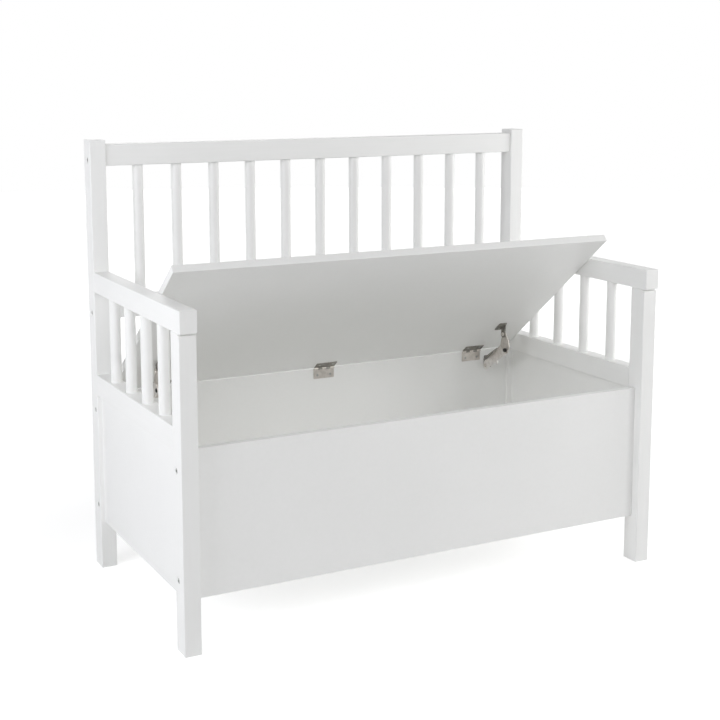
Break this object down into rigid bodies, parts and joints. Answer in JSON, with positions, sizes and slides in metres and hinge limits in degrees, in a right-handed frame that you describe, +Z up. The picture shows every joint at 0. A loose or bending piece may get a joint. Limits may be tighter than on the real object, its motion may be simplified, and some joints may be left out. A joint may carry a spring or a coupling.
{
  "type": "storage bench",
  "caption": "Storage bench with spindle back and arms, and a box under a hinged seat lid that two folding stays hold open.",
  "frame": {"origin": "floor level, at the middle of the outline in X and Y", "axes": "+X to the right as seen from the front, +Y from the front to the back, +Z up"},
  "size_m": [1.05, 0.5454, 0.9],
  "materials": {
    "white_lacquer": "white satin lacquer",
    "nickel_steel": "satin nickel plate",
    "zinc_steel": "zinc plate",
    "black_cap": "black cap",
    "beech": "bare wood"
  },
  "bodies": {
    "frame": {"front_leg_left": "white_lacquer", "front_leg_right": "white_lacquer", "back_post_left": "white_lacquer", "back_post_right": "white_lacquer", "arm_left": "white_lacquer", "arm_right": "white_lacquer", "side_rail_left": "white_lacquer", "side_rail_right": "white_lacquer", "side_panel_left": "white_lacquer", "side_panel_right": "white_lacquer", "arm_spindle_left_1": "white_lacquer", "arm_spindle_left_2": "white_lacquer", "arm_spindle_left_3": "white_lacquer", "arm_spindle_left_4": "white_lacquer", "arm_spindle_right_1": "white_lacquer", "arm_spindle_right_2": "white_lacquer", "arm_spindle_right_3": "white_lacquer", "arm_spindle_right_4": "white_lacquer", "back_top_rail": "white_lacquer", "back_lower_rail": "white_lacquer", "back_spindle_1": "white_lacquer", "back_spindle_2": "white_lacquer", "back_spindle_3": "white_lacquer", "back_spindle_4": "white_lacquer", "back_spindle_5": "white_lacquer", "back_spindle_6": "white_lacquer", "back_spindle_7": "white_lacquer", "back_spindle_8": "white_lacquer", "back_spindle_9": "white_lacquer", "back_spindle_10": "white_lacquer", "back_spindle_11": "white_lacquer", "front_panel": "white_lacquer", "back_panel": "white_lacquer", "bottom_panel": "white_lacquer", "bottom_battens": "white_lacquer", "hinge_box_leaf_left": "nickel_steel", "hinge_box_leaf_middle": "nickel_steel", "hinge_box_leaf_right": "nickel_steel", "hinge_pins": "nickel_steel", "box_screws": "zinc_steel", "stay_box_bracket_left": "nickel_steel", "stay_box_bracket_right": "nickel_steel", "stay_box_rivets": "nickel_steel", "frame_bolts": "zinc_steel", "barrel_nuts": "zinc_steel", "frame_dowels": "beech"},
    "lid": {"seat_lid": "white_lacquer", "hinge_lid_leaf_left": "nickel_steel", "hinge_lid_leaf_middle": "nickel_steel", "hinge_lid_leaf_right": "nickel_steel", "lid_screws": "zinc_steel", "stay_lid_bracket_left": "nickel_steel", "stay_lid_bracket_right": "nickel_steel", "stay_lid_rivets": "nickel_steel"},
    "stay_lower_left": {"stay_lower_arm_left": "nickel_steel", "stay_elbow_rivet_left": "black_cap"},
    "stay_upper_left": {"stay_upper_arm_left": "nickel_steel"},
    "stay_lower_right": {"stay_lower_arm_right": "nickel_steel", "stay_elbow_rivet_right": "black_cap"},
    "stay_upper_right": {"stay_upper_arm_right": "nickel_steel"}
  },
  "joints": [
    {"name": "lid_hinge", "type": "hinge", "parent": "frame", "child": "lid", "pos_m": [0, 0.23525, 0.3758], "axis": [-1, 0, 0], "range_deg": [-38.3, 38]},
    {"name": "stay_base_left", "type": "hinge", "parent": "frame", "child": "stay_lower_left", "pos_m": [-0.426, 0.22675, 0.3395], "axis": [-1, 0, 0], "range_deg": [-40, 40]},
    {"name": "stay_elbow_left", "type": "hinge", "parent": "stay_lower_left", "child": "stay_upper_left", "pos_m": [-0.426, 0.13926, 0.3933], "axis": [-1, 0, 0], "range_deg": [-40, 40]},
    {"name": "stay_base_right", "type": "hinge", "parent": "frame", "child": "stay_lower_right", "pos_m": [0.426, 0.22675, 0.3395], "axis": [-1, 0, 0], "range_deg": [-40, 40]},
    {"name": "stay_elbow_right", "type": "hinge", "parent": "stay_lower_right", "child": "stay_upper_right", "pos_m": [0.426, 0.13926, 0.3933], "axis": [-1, 0, 0], "range_deg": [-40, 40]}
  ],
  "couplings": [
    {"joint": "stay_base_left", "follows": "lid_hinge", "ratio": 1},
    {"joint": "stay_elbow_left", "follows": "lid_hinge", "ratio": -1},
    {"joint": "stay_base_right", "follows": "lid_hinge", "ratio": 1},
    {"joint": "stay_elbow_right", "follows": "lid_hinge", "ratio": -1}
  ]
}
